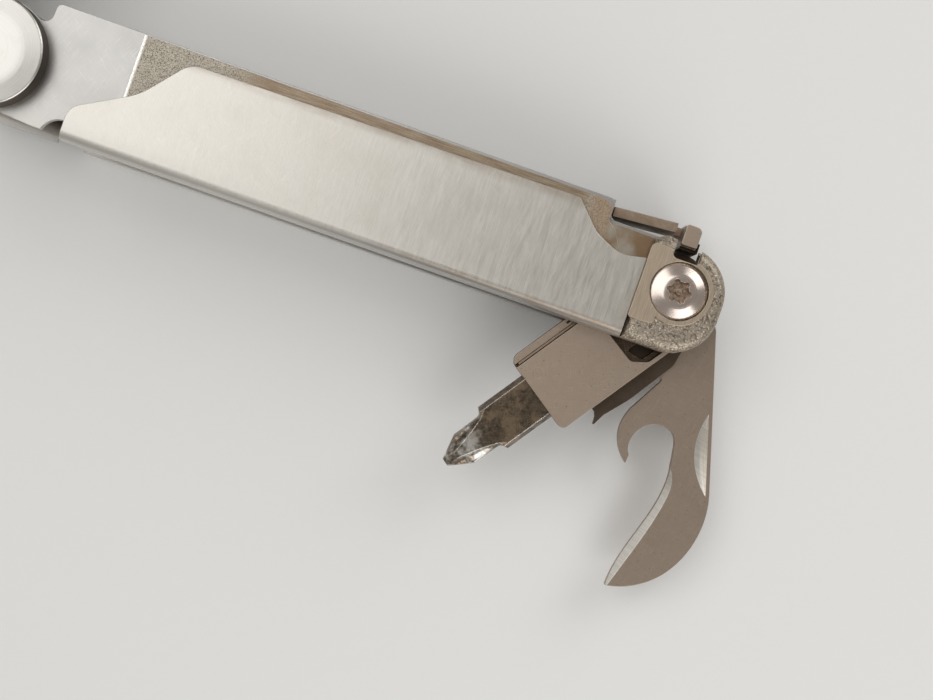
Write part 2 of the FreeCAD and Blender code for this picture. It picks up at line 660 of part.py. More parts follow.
def edge_grind(top):
    """What the hollow-ground bevel takes off along the opener's cutting edge."""
    line = [Vector(x, y, top) for x, y in (
        (24.9, 1.3), (27.2, 1.6), (30.1, 0.6), (33.2, -1.1), (37.3, -3.75), (43.4, -7.85))]
    width = 3.4
    depth = 2.3
    away = Vector(-0.52, -0.86, 0) * width
    rise = Z
    rails = [smooth([p + step for p in line]) for step in (ORIGIN, away - Z * depth, away + rise, rise)]
    faces = [Part.makeRuledSurface(rails[k], rails[(k + 1) % 4]) for k in range(4)]
    for place in ("FirstParameter", "LastParameter"):
        ends = [rail.Edges[0].valueAt(getattr(rail.Edges[0], place)) for rail in rails]
        faces.append(Part.Face(Part.makePolygon(ends + [ends[0]])))
    shell = Part.Shell([part for face in faces for part in face.Faces])
    shell.sewShape()
    solid = Part.Solid(Part.Shell(shell.Faces))
    if solid.Volume < 0:
        solid.reverse()
    return solid


def awl():
    """Pointed awl with a thread eye."""
    low, high = AWL_LEVEL
    body = plate([
        (0, -5.0), (9, -3.6, 3), (13, 1.2, 6), (39.5, 4.6, 0.2), (30, TOOL_SIDE, 12), (6, TOOL_SIDE, 2),
        (0, TANG_R),
    ], low, high)
    body = body.fuse(disc(0, 0, TANG_R, low, high)).removeSplitter()
    eye = plate([(15.0, 3.0, 0.7), (19.0, 3.9, 0.7), (19.0, 5.4, 0.7), (15.0, 4.5, 0.7)], low - 1, high + 1)
    nick = nail_nick(7.0, 14.0, TOOL_SIDE - 0.9, high, 0.6)
    return one(body.cut([eye, nick, tang_hole(low, high), lock_notch(low, high)]))


def flat_driver(level, length, width):
    """Flat-blade screwdriver of that reach and tip width."""
    low, high = level
    centre = TOOL_SIDE - width / 2 - 0.6
    inner, outer = centre - width / 2, centre + width / 2
    body = plate([
        (0, -5.2), (9, -4.4, 3), (15, inner - 0.5, 4), (length - 9, inner, 6), (length, inner + 0.3, 0.3),
        (length, outer, 0.3), (length - 4, TOOL_SIDE - 0.3, 2), (6, TOOL_SIDE, 2), (0, TANG_R),
    ], low, high)
    body = body.fuse(disc(0, 0, TANG_R, low, high)).removeSplitter()
    cuts = [nail_nick(9.0, 18.0, TOOL_SIDE - 0.9, high, 0.6), tang_hole(low, high), lock_notch(low, high)]
    return one(body.cut(cuts + blade_tip(low, high, length, 9.0)))


def lanyard_ring():
    """Swing-out eye for a lanyard."""
    low, high = RING_LEVEL
    eye_x, eye_y = 12.2, 2.4
    body = plate([(0, -5.0), (11, -1.6, 3), (eye_x, 6.8), (6, 7.0, 2), (0, TANG_R)], low, high)
    body = body.fuse([disc(0, 0, TANG_R, low, high), disc(eye_x, eye_y, RING_EYE_R + 1.9, low, high)])
    eye = disc(eye_x, eye_y, RING_EYE_R, low - 1, high + 1)
    return one(body.removeSplitter().cut([eye, tang_hole(low, high), lock_notch(low, high)]))


# ---------------------------------------------------------------- outer blades, each in its own frame
def blade_blank(corners, bottom, top):
    """A blade's plate with its round tang, its pivot hole and its lock notch."""
    blank = plate(corners, bottom, top).fuse(disc(0, 0, TANG_R, bottom, top)).removeSplitter()
    return blank.cut([tang_hole(bottom, top), blade_notch(bottom, top)])


def blade_notch(bottom, top):
    """The tang's step that the wall's spring tongue stands behind when the blade is open."""
    out = -TANG_R - 2
    return plate([(-1.3, out), (2.25, out), (2.25, -4.0, 0.4), (-1.3, -4.0, 0.4)], bottom - 1, top + 1)


def file_blade():
    """Rectangular file with a thinner ground tang."""
    back, edge = -8.8, 5.0
    body = plate([
        (14.5, back), (FILE_LENGTH, back - 0.25), (FILE_LENGTH, edge, 0.8), (15.5, edge, 2), (9.7, 1.0, 3),
        (9.5, -2.7, 2), (11.1, -5.4, 1.2), (12.2, -6.0, 0.6), (12.1, back + 0.15, 1.6),
    ], BLADE_LOW, BLADE_TOP)
    tang = blade_blank([(0, -TANG_R), (16, -TANG_R), (18, 4.6, 2), (0, 5.4)],
                       BLADE_LOW + FILE_THIN, BLADE_TOP - FILE_THIN)
    return one(body.fuse(tang))


def saw_blade():
    """Wood saw with a raised pull near its tip."""
    low, high = BLADE_LOW + SAW_THIN, BLADE_TOP - SAW_THIN
    end = BLADE_LENGTH
    pull = end - 15.5
    body = blade_blank([
        (0, -TANG_R), (10, -TANG_R, 3), (14, -8.9, 4), (pull - 22, -9.1, 30), (pull - 8, -10.2, 30),
        (pull + 6, -10.3, 30), (pull + 12.5, -9.9, 2), (end - 1, -8.0, 2), (end, 1.5, 2), (16, 5.4),
        (8, 4.6, 3), (0, 5.6),
    ], low, high)
    teeth = []
    for k in range(int((end - 20) / SAW_PITCH)):
        x = 17.0 + k * SAW_PITCH
        edge = 5.4 - (x - 16) / (end - 16) * 3.9
        gap = [(x, edge + 1), (x + SAW_PITCH / 2, edge - SAW_DEPTH), (x + SAW_PITCH, edge + 1)]
        teeth.append(plate(gap, low - 1, high + 1))
    return one(body.cut(teeth))


KNIFE_SPINE = -8.6
KNIFE_EDGE = 6.0


def clip_corners():
    """Outline of the clip-point blade."""
    end = BLADE_LENGTH
    return [
        (0, -TANG_R), (10, -TANG_R, 3), (14, KNIFE_SPINE, 3), (end - 26, KNIFE_SPINE, 12),
        (end - 4, -3.7, 20),
        (end, -1.5, 0.2), (end - 12, KNIFE_EDGE - 0.4, 14), (18, KNIFE_EDGE, 1),
        (15.5, KNIFE_EDGE - 1.2, 1), (8, KNIFE_EDGE - 1.2, 2), (0, 5.6),
    ]


def sheepsfoot_corners():
    """Outline of the serrated blade, with its spine curving down to the edge."""
    end = BLADE_LENGTH
    return [
        (0, -TANG_R), (10, -TANG_R, 3), (14, KNIFE_SPINE, 3), (end - 18, KNIFE_SPINE, 12),
        (end - 4, -2.0, 8), (end, 4.0, 0.2), (end - 1.5, KNIFE_EDGE - 0.4, 1), (18, KNIFE_EDGE, 1),
        (15.5, KNIFE_EDGE - 1.2, 1), (8, KNIFE_EDGE - 1.2, 2), (0, 5.6),
    ]


def flat_grind(start, top, rest):
    """The two wedges that grind a knife blade from that line down to its edge."""
    half = (BLADE_TOP - BLADE_LOW) / 2
    rise = math.degrees(math.atan((half - rest) / (KNIFE_EDGE - top)))
    wedges = []
    for side in (1, -1):
        wedge = block(start, BLADE_LENGTH + 5, 0, 20, 2.5 * side - 2.5, 2.5 * side + 2.5)
        wedge.rotate(ORIGIN, X, -side * rise)
        wedge.translate(Vector(0, top, BLADE_LOW + half + side * half))
        wedges.append(wedge)
    return wedges


def thumb_slot():
    """The opening a thumb swings the blade out by."""
    corners = [(36, -6.9, 1.6), (45, -6.9, 1.6), (45, -3.6, 1.6), (36, -3.6, 1.6)]
    return plate(corners, BLADE_LOW - 1, BLADE_TOP + 1)


def clip_point_knife():
    """Folding clip-point blade with a flat grind."""
    body = blade_blank(clip_corners(), BLADE_LOW, BLADE_TOP)
    return one(body.cut(flat_grind(19, -3.4, 0.15) + [thumb_slot()]))


def serrated_knife():
    """Folding sheepsfoot blade with scalloped serrations."""
    body = blade_blank(sheepsfoot_corners(), BLADE_LOW, BLADE_TOP)
    scallops = []
    for k in range(int((BLADE_LENGTH - 32) / SERRATION_PITCH)):
        scallops.append(disc(26 + k * SERRATION_PITCH, 6.9, SERRATION_R, BLADE_LOW - 1, BLADE_TOP + 1))
    return one(body.cut(flat_grind(19, -3.4, 0.15) + [thumb_slot()] + scallops))


# ---------------------------------------------------------------- plier head, jaw A; jaw B is the same part
def jaw_nose(half):
    """The nose with its wire cutter seat and pipe grip, thinning towards the tip on both sides."""
    gap = 0.06
    tip = -NOSE_LENGTH
    thinning = -13
    nose = plate([
        (0, gap), (-8.2, gap), (-8.2, 2.4), (-16.8, 2.4), (-17.2, gap), (-18.6, gap), (-20.5, 1.5, 3),
        (-24.5, 2.3, 10), (-28.6, 1.3, 3), (-30, gap), (tip, gap, 0.2), (tip, 2.0, 1.2), (-31, 4.7, 30),
        (-18, 7.9, 16), (-9, 8.9, 6), (-6.5, 7.0, 3), (0, 6.0),
    ], -half, half)
    lean = math.degrees(math.atan((half - NOSE_TIP_THICK / 2) / (thinning - tip)))
    for side in (1, -1):
        wedge = block(tip + thinning, 0, -2, 12, 3 * side - 3, 3 * side + 3)
        wedge.rotate(ORIGIN, Y, -side * lean)
        wedge.translate(Vector(thinning, 0, side * half))
        nose = nose.cut(wedge)
    return nose


def jaw():
    """Forged jaw with its crossing arm; the lap stands on the near side."""
    half = JAW_THICK / 2
    arm = plate([
        (-5, -4.5, 2), (2, -8.0, 6), (RIVET_AHEAD, -JAW_SIDE - 6.6, 4), (RIVET_AHEAD + 3, -JAW_SIDE + 3),
        (RIVET_AHEAD - 1.5, -1.9, 2), (4, -0.6, 3), (-2, 4),
    ], -half, half)
    eye = disc(RIVET_AHEAD, -JAW_SIDE, PLIER_ARM_R, -half, half)
    lap = disc(0, 0, LAP_R, LAP, half)
    other_lap = disc(0, 0, LAP_R + 0.5, -half - 1, LAP)
    body = jaw_nose(half).fuse([arm, eye]).cut(other_lap).fuse(lap)
    return one(body.cut([
        disc(RIVET_AHEAD, -JAW_SIDE, PLIER_POST_R + FIT, -half - 1, half + 1),
        disc(0, 0, RIVET_R + FIT, -half - 1, half + 1),
        disc(0, 0, RIVET_HEAD_R + FIT, half - RIVET_SINK, half + 1),
    ] + nose_teeth(half)))


def nose_teeth(half):
    """Fine gripping teeth near the tip of the nose."""
    cuts = []
    pitch = NOSE_TOOTH_PITCH
    for k in range(int((NOSE_LENGTH - 32) / pitch)):
        x = -31.0 - k * pitch
        cuts.append(plate([(x, -0.2), (x - pitch / 2, 0.45), (x - pitch, -0.2)], -half - 1, half + 1))
    return cuts


def cutter_insert():
    """Hard wire-cutter blade let into the jaw beside the rivet."""
    half = JAW_THICK / 2 - 0.15
    insert = plate([
        (-8.95, 0.9), (-9.3, 0.08, 0.1), (-16.9, 0.08, 0.1), (-16.75, 2.37), (-8.95, 2.37),
    ], -half, half)
    bevels = []
    for side in (1, -1):
        outside = side * (half + 0.1)
        bevels.append(bar([(-1, side * 0.25), (0.0, side * 0.25), (1.7, outside), (-1, outside)], -18, -8))
    return one(insert.cut(bevels))


def plier_rivet():
    """Rivet the two jaws turn on, headed nearly flush in both laps."""
    proud = JAW_THICK / 2 + RIVET_PROUD
    seat = JAW_THICK / 2 - RIVET_SINK + 0.03
    return one(turned([
        (0, -proud), (RIVET_HEAD_R, -proud, 0.3), (RIVET_HEAD_R, -seat), (RIVET_R, -seat),
        (RIVET_R, seat), (RIVET_HEAD_R, seat), (RIVET_HEAD_R, proud, 0.3), (0, proud),
    ]))


# ---------------------------------------------------------------- the whole tool
def handle_pieces():
    """The pieces each handle has, in the handle's frame."""
    cap = bolster()
    return {
        "handle_shell": handle_shell(),
        "screw_side_bolster": cap,
        "nut_side_bolster": flipped(cap),
        "tool_pivot_screw": tool_screw(),
        "tool_pivot_post": tool_post(),
        "plier_pivot_post": plier_post(),
        "plier_pivot_cap": plier_cap(),
        "lock_lever": lock_lever(),
    }


def handle_a_tools():
    """Handle A's tools, each with its rest angle from stowed."""
    return {
        "bit_driver_body": (driver_body(), DRIVER_ANGLE),
        "bit_driver_cover": (driver_cover(), DRIVER_ANGLE),
        "bit_spring": (bit_spring(), DRIVER_ANGLE),
        "cross_point_bit": (screwdriver_bit(), DRIVER_ANGLE),
        "small_screwdriver": (small_screwdriver(), SMALL_DRIVER_ANGLE),
        "can_opener": (can_opener(), OPENER_ANGLE),
        "diamond_file": (file_blade(), 0),
        "wood_saw": (flipped(saw_blade()), 0),
    }


def handle_b_tools():
    """Handle B's tools, each with its rest angle from stowed."""
    return {
        "awl": (awl(), 0),
        "large_screwdriver": (flat_driver(LARGE_LEVEL, LARGE_DRIVER_LENGTH, LARGE_DRIVER_WIDTH), 0),
        "medium_screwdriver": (flat_driver(MEDIUM_LEVEL, MEDIUM_DRIVER_LENGTH, MEDIUM_DRIVER_WIDTH), 0),
        "lanyard_ring": (lanyard_ring(), LANYARD_ANGLE),
        "clip_point_knife": (clip_point_knife(), 0),
        "serrated_knife": (flipped(serrated_knife()), 0),
    }


def all_nodes():
    """Every piece in the row frame, by node name."""
    nodes = {}
    for name, piece in handle_pieces().items():
        nodes[name + "_a"] = in_handle_a(piece)
        nodes[name + "_b"] = in_handle_b(piece)
    for name, piece in (("plier_jaw", jaw()), ("wire_cutter", cutter_insert())):
        nodes[name + "_a"] = in_jaw_a(piece)
        nodes[name + "_b"] = in_jaw_b(piece)
    nodes["plier_rivet"] = in_jaw_a(plier_rivet())
    for name, (piece, angle) in handle_a_tools().items():
        nodes[name] = in_handle_a(swung(piece, angle))
    for name, (piece, angle) in handle_b_tools().items():
        nodes[name] = in_handle_b(swung(piece, angle))
    return nodes


def main():
    os.makedirs("parts", exist_ok=True)
    for name, shape in all_nodes().items():
        good = shape.isValid() and len(shape.Solids) >= 1
        state = "ok" if good else "CHECK"
        print(f"{name:24s} solids {len(shape.Solids)} volume {shape.Volume:9.1f} {state}")
        shape.exportStep(f"parts/{name}.step")


if __name__ == "__main__":
    main()
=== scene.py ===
"""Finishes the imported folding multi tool: brushed, cast, forged and ground steel on a pale floor."""
import json
import math

import bpy
from mathutils import Matrix, Vector


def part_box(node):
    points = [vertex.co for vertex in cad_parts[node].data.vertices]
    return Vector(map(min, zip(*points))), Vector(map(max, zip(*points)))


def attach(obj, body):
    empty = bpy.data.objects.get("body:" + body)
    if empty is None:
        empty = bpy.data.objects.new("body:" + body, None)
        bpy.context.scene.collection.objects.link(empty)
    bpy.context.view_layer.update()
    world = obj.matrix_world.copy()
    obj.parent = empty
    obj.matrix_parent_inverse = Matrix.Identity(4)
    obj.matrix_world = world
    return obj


bl_info = {
    "name": "Folding multi tool",
    "version": (1, 0, 0),
    "blender": (4, 5, 0),
    "location": "3D View > Sidebar > Multi tool",
    "description": "Steel finishes, small pieces and a studio for a folding multi tool",
    "category": "Object",
}

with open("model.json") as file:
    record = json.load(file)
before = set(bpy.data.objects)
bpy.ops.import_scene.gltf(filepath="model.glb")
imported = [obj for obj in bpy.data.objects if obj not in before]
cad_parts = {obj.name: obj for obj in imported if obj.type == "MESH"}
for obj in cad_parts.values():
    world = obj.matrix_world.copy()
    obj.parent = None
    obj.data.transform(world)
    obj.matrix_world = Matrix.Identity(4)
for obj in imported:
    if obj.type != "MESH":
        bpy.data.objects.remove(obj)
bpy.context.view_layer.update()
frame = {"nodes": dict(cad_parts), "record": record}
NODES = frame["nodes"]
JOINTS = {joint["name"]: joint for joint in frame["record"]["behaviour"]["joints"]}
MM = 0.001


# ---------------------------------------------------------------- places read from the frame
PIVOT_A = Vector(JOINTS["file_swing"]["pos_m"])
PIVOT_B = Vector(JOINTS["awl_swing"]["pos_m"])
EYE_A = Vector(JOINTS["handle_a_fold"]["pos_m"])
EYE_B = Vector(JOINTS["handle_b_fold"]["pos_m"])
RIVET = Vector(JOINTS["jaw_swing"]["pos_m"])


def heading(start, end):
    """Angle of the line between two places, seen from above."""
    line = end - start
    return math.atan2(line.y, line.x)


HEADING_A = heading(EYE_A, PIVOT_A)
HEADING_B = heading(EYE_B, PIVOT_B)
STOWED = HEADING_A + math.pi                            # where handle A's tools point when stowed
OPEN_DRIVER = STOWED + math.radians(55.4)               # where the driver and the opener point at rest
OPEN_OPENER = STOWED + math.radians(107.0)
GRIND_TURN = math.radians(-30)                          # the opener's edge leans from the opener's own line

# Where one finish gives way to another.  Each pair is where the change starts and where it is complete, along
# a piece's own line (X), towards the handle's back (Y), or up from the middle of the thickness (LEVEL).
PANEL_LEVEL = (7.9 * MM, 8.2 * MM)
CHANNEL_LEVEL = (4.3 * MM, 4.6 * MM)
PAD_LEVEL = (9.2 * MM, 9.27 * MM)
SOCKET_LEVEL = (9.0 * MM, 9.15 * MM)
# Below this level in the bit driver, shade is painted.
DRIVER_SHADE_LEVEL = (2.5 * MM, 3.2 * MM)
FLAT = (0.80, 0.97)                                     # how upright a face is, from a fold to a panel
GROUND_FLAT = (0.93, 0.985)                             # the same from a tool's ground bevel to its side
BLADE_FLAT = (0.965, 0.995)                             # the same on the outer blades
# Above this span the inner walls of the sheet get painted shade.
MOUTH_SHADE_Y = (-7.9 * MM, -7.4 * MM)
# The next two spans place the painted highlight on the folds at the mouth.
MOUTH_FOLD_Y = (-8.2 * MM, -5.0 * MM)
FOLD_HIGHLIGHT_X = (-66 * MM, -30 * MM)
# The next three spans place painted shade along the bend above the mouth.
CREASE_LOW_Y = (-8.4 * MM, -7.9 * MM)
CREASE_HIGH_Y = (-7.6 * MM, -7.2 * MM)
CREASE_X = (-45 * MM, -25 * MM)
PANEL_END_X = (-7.5 * MM, -5.7 * MM)
PANEL_WIDTH_Y = (-8.6 * MM, 2 * MM)
PANEL_BACK_Y = (5.9 * MM, 7.6 * MM)
PANEL_SIDES_Y = (-4 * MM, 2 * MM)
LEVER_BAR_X = (-1.7 * MM, -1.4 * MM)
LEVER_HOOK_X = (0.76 * MM, 0.8 * MM)
LEVER_HOOK_Y = (6.5 * MM, 6.65 * MM)
BIT_TIP_X = (31.5 * MM, 36 * MM)
FILE_TANG_X = (-12.4 * MM, -11.6 * MM)
FILE_TIP_X = (-80.75 * MM, -80.3 * MM)
FILE_STAIN_X = (-69 * MM, -63 * MM)
FILE_STAIN_END_X = (-17 * MM, -14.5 * MM)
# Where a darker brown band on the file begins, before its tang.
FILE_DARK_BAND_X = (-16 * MM, -14.5 * MM)
SOCKET_REACH = 1.8 * MM                                 # screw socket, out to its lobes

# Studio: name, place, the place it faces, and the width of each lamp.
LAMPS = (
    ("key", (-0.30, 0.10, 0.55), (-0.05, 0, 0), 0.45),
    ("fill", (0.30, -0.42, 0.40), (-0.02, 0, 0), 0.5),
    ("back", (0.30, 0.45, 0.35), (0, 0, 0), 0.4),
)
ROOM_COLOUR = (1.0, 0.96, 0.90)
FLOOR_WIDTH = 6.0
SENSOR_WIDTH = 36.0                                     # millimetres


# ---------------------------------------------------------------- settings
class ToolStageSettings(bpy.types.PropertyGroup):
    """Camera, lights and floor."""
    camera_height: bpy.props.FloatProperty(
        name="Camera height", description="Height of the camera above the floor", default=0.230,
        unit="LENGTH")
    camera_aside: bpy.props.FloatVectorProperty(
        name="Camera place", description="Where the camera stands over the floor",
        default=(-0.02478, -0.01719), size=2, unit="LENGTH")
    camera_turn: bpy.props.FloatProperty(
        name="Camera turn", description="How far the camera is turned about its own axis",
        default=math.radians(19.4), unit="ROTATION")
    lens: bpy.props.FloatProperty(name="Lens", description="Focal length in millimetres", default=59.71)
    floor_colour: bpy.props.FloatVectorProperty(
        name="Floor", description="Colour of the floor", default=(0.90, 0.90, 0.89), subtype="COLOR")
    key_power: bpy.props.FloatProperty(
        name="Key light", description="Power of the key light", default=0.95, unit="POWER")
    fill_power: bpy.props.FloatProperty(
        name="Fill light", description="Power of the fill light", default=1.6, unit="POWER")
    back_power: bpy.props.FloatProperty(
        name="Back light", description="Power of the back light", default=1.1, unit="POWER")
    room_light: bpy.props.FloatProperty(
        name="Room light", description="Strength of the even room light", default=0.30)


class ToolMarkSettings(bpy.types.PropertyGroup):
    """Weld marks on the bit driver."""
    front_place: bpy.props.FloatVectorProperty(
        name="Front mark", description="Along and across the driver", default=(0.0221, -0.0021),
        size=2, unit="LENGTH")
    rear_place: bpy.props.FloatVectorProperty(
        name="Rear mark", description="Along and across the driver", default=(0.0155, 0.0047),
        size=2, unit="LENGTH")
    radius: bpy.props.FloatProperty(
        name="Radius", description="Radius of a mark", default=0.00062, unit="LENGTH")
    wire: bpy.props.FloatProperty(
        name="Bead", description="Radius of a mark's raised bead", default=0.00005, unit="LENGTH")


def steel_colour(name, description, default):
    return bpy.props.FloatVectorProperty(
        name=name, description=description, default=default, subtype="COLOR")


class ToolFinishSettings(bpy.types.PropertyGroup):
    """Colours of the steels."""
    sheet: steel_colour("Panel", "Brushed side panels", (0.655, 0.635, 0.59))
    wall: steel_colour("Wall", "Satin walls of the handles", (0.475, 0.465, 0.45))
    cast: steel_colour("Cast", "Cast bolsters", (0.46, 0.405, 0.335))
    polished: steel_colour("Polished", "Screws and rivets", (0.72, 0.62, 0.56))
    cap: steel_colour("Pivot cap", "Domed plier pivot caps", (0.62, 0.606, 0.573))
    socket: steel_colour("Socket", "Stained screw socket", (0.66, 0.50, 0.38))
    forged: steel_colour("Forged", "Plier jaws", (0.46, 0.44, 0.41))
    tool: steel_colour("Tool", "Satin inner tools", (0.44, 0.355, 0.285))
    spring: steel_colour("Spring", "Lock levers and leaf spring", (0.42, 0.33, 0.255))
    blade: steel_colour("Blade", "Outer blades", (0.60, 0.585, 0.56))
    grit: steel_colour("Grit", "Diamond file", (0.45, 0.41, 0.345))
    ground: steel_colour("Ground", "Freshly ground and worn steel", (0.86, 0.85, 0.81))
    bit: steel_colour("Bit", "Browned bit", (0.165, 0.128, 0.092))
    # Brown dirt; the same colour also paints shade on inner walls, along the bend at the mouth, low in the
    # bit driver, on turned sides and on the lever's hook.
    grime_and_shade: steel_colour("Grime", "Brown dirt in corners", (0.17, 0.115, 0.07))
    sheet_roughness: bpy.props.FloatProperty(
        name="Panel roughness", description="Roughness of the brushed panels", default=0.325,
        min=0.1, max=0.9)


# ---------------------------------------------------------------- shader sums
class Value:
    """A number that varies over a surface; sums written on it add Math nodes."""

    def __init__(self, finish, socket):
        self.finish = finish
        self.socket = socket

    def sum(self, operation, first, second, third=None):
        operands = {0: first, 1: second}
        if third is not None:
            operands[2] = third
        return self.finish.add("ShaderNodeMath", {"operation": operation}, operands)

    def __add__(self, other):
        return self.sum("ADD", self, other)

    __radd__ = __add__

    def __sub__(self, other):
        return self.sum("SUBTRACT", self, other)

    def __rsub__(self, other):
        return self.sum("SUBTRACT", other, self)

    def __mul__(self, other):
        return self.sum("MULTIPLY", self, other)

    __rmul__ = __mul__

    def __truediv__(self, other):
        return self.sum("DIVIDE", self, other)

    def least(self, other):
        return self.sum("MINIMUM", self, other)

    def most(self, other):
        return self.sum("MAXIMUM", self, other)

    def size(self):
        return self.sum("ABSOLUTE", self, 0.0)

    def ramp(self, low, high, start=0.0, end=1.0):
        """This value's place between low and high, held inside start to end."""
        return self.finish.add(
            "ShaderNodeMapRange", {"interpolation_type": "SMOOTHSTEP"},
            {"Value": self, "From Min": low, "From Max": high, "To Min": start, "To Max": end}, "Result")

    def fade(self, low, high):
        """1 below low and 0 above high."""
        return self.ramp(low, high, 1.0, 0.0)

    def spread(self):
        """Noise, whose values crowd round a half, spread out from 0 to 1."""
        return self.ramp(0.3, 0.7)


class Finish:
    """A steel finish built up from nodes around one Principled shader."""

    def __init__(self, name):
        self.material = bpy.data.materials.new(name)
        self.material.use_nodes = True
        self.tree = self.material.node_tree
        self.tree.nodes.clear()
        self.shader = self.tree.nodes.new("ShaderNodeBsdfPrincipled")
        output = self.tree.nodes.new("ShaderNodeOutputMaterial")
        self.tree.links.new(self.shader.outputs["BSDF"], output.inputs["Surface"])
        self.shader.inputs["Metallic"].default_value = 1.0

    def set(self, socket, value):
        if isinstance(value, Value):
            self.tree.links.new(value.socket, socket)
        elif isinstance(value, bpy.types.NodeSocket):
            self.tree.links.new(value, socket)
        elif socket.type == "RGBA" and len(value) == 3:
            socket.default_value = (*value, 1.0)
        else:
            socket.default_value = value

    def add(self, kind, settings=None, inputs=None, output=0):
        """One node: its settings first, then its inputs; gives back an output as a Value."""
        node = self.tree.nodes.new(kind)
        for name, value in (settings or {}).items():
            setattr(node, name, value)
        for name, value in (inputs or {}).items():
            self.set(node.inputs[name], value)
        return Value(self, node.outputs[output])

    def place(self, centre=(0, 0, 0), turn=0.0):
        """Object coordinates about a centre, turned so that X runs along the piece."""
        here = self.add("ShaderNodeTexCoord", None, None, "Object")
        moved = self.add("ShaderNodeVectorMath", {"operation": "SUBTRACT"}, {0: here, 1: tuple(centre)})
        return self.turned(moved, -turn)

    def turned(self, place, turn):
        """The same place, turned about the upright line."""
        return self.add("ShaderNodeVectorRotate", {"rotation_type": "Z_AXIS"},
                        {"Vector": place, "Angle": turn})

    def stretched(self, place, scale):
        return self.add("ShaderNodeVectorMath", {"operation": "MULTIPLY"}, {0: place, 1: scale})

    def axis(self, place, letter):
        return self.add("ShaderNodeSeparateXYZ", None, {0: place}, letter)

    def noise(self, place, spacing, detail=3.0, roughness=0.55, distortion=0.0):
        """Cloudy noise whose blobs are about that far apart, in metres, along each axis."""
        if not isinstance(spacing, tuple):
            spacing = (spacing,) * 3
        field = self.stretched(place, tuple(1 / s for s in spacing))
        return self.add("ShaderNodeTexNoise", {"noise_dimensions": "3D"},
                        {"Vector": field, "Scale": 1.0, "Detail": detail, "Roughness": roughness,
                         "Distortion": distortion}, "Fac")

    def blend(self, amount, first, second):
        """A colour between two colours."""
        node = self.tree.nodes.new("ShaderNodeMix")
        node.data_type = "RGBA"
        self.set(node.inputs["Factor"], amount)
        self.set(node.inputs[6], first)
        self.set(node.inputs[7], second)
        return Value(self, node.outputs[2])

    def radius(self, place):
        """Distance from the upright line through the centre."""
        flat = self.stretched(place, (1.0, 1.0, 0.0))
        return self.add("ShaderNodeVectorMath", {"operation": "LENGTH"}, {0: flat}, "Value")

    def rings(self, radius, spacing):
        """Turning marks: noise that varies with the radius alone."""
        return self.add("ShaderNodeTexNoise", {"noise_dimensions": "1D"},
                        {"W": radius / spacing, "Scale": 1.0, "Detail": 3.0, "Roughness": 0.7}, "Fac")

    def pebbles(self, place, spacing):
        """Rounded grains packed together, 1 at their tops."""
        field = self.stretched(place, (1 / spacing,) * 3)
        cells = self.add("ShaderNodeTexVoronoi", {"feature": "SMOOTH_F1"},
                         {"Vector": field, "Scale": 1.0, "Smoothness": 0.6}, "Distance")
        return (1.0 - cells).most(0.0)

    def scratches(self, place, length, rarity):
        """Thin straight marks in two directions, 1 on a mark."""
        marks = None
        for turn in (0.6, -1.1):
            lines = self.noise(self.turned(place, turn), (length, length * 0.02, length), 0.0)
            mark = lines.ramp(rarity * 0.72, rarity * 0.78)
            marks = mark if marks is None else marks.most(mark)
        return marks

    def upright(self):
        """How far a face looks straight up or down, from 0 to 1."""
        return self.axis(self.add("ShaderNodeNewGeometry", None, None, "True Normal"), "Z").size()

    def bump(self, height, distance, strength=1.0, base=None):
        inputs = {"Height": height, "Distance": distance, "Strength": strength}
        if base is not None:
            inputs["Normal"] = base
        return self.add("ShaderNodeBump", None, inputs, "Normal")

    def soft_edge(self, radius):
        """The surface's direction with its edges rounded."""
        return self.add("ShaderNodeBevel", {"samples": 6}, {"Radius": radius}, "Normal")

    def worn(self, rounded, gain=4.0):
        """1 on edges and 0 on flats, from how far the rounded direction leans from the true one."""
        true = self.add("ShaderNodeNewGeometry", None, None, "True Normal")
        likeness = self.add("ShaderNodeVectorMath", {"operation": "DOT_PRODUCT"},
                            {0: rounded, 1: true}, "Value")
        return ((1.0 - likeness) * gain).least(1.0)

    def finish(self, colour, roughness, normal=None):
        self.set(self.shader.inputs["Base Color"], colour)
        self.set(self.shader.inputs["Roughness"], roughness)
        if normal is not None:
            self.set(self.shader.inputs["Normal"], normal)
        return self.material


def tint(colour, gain, warm=0.0):
    """A colour made lighter or darker, and warmer by a share of its red and blue."""
    gains = (gain * (1 + warm), gain, gain * (1 - warm))
    return tuple(min(part * share, 1.0) for part, share in zip(colour, gains))


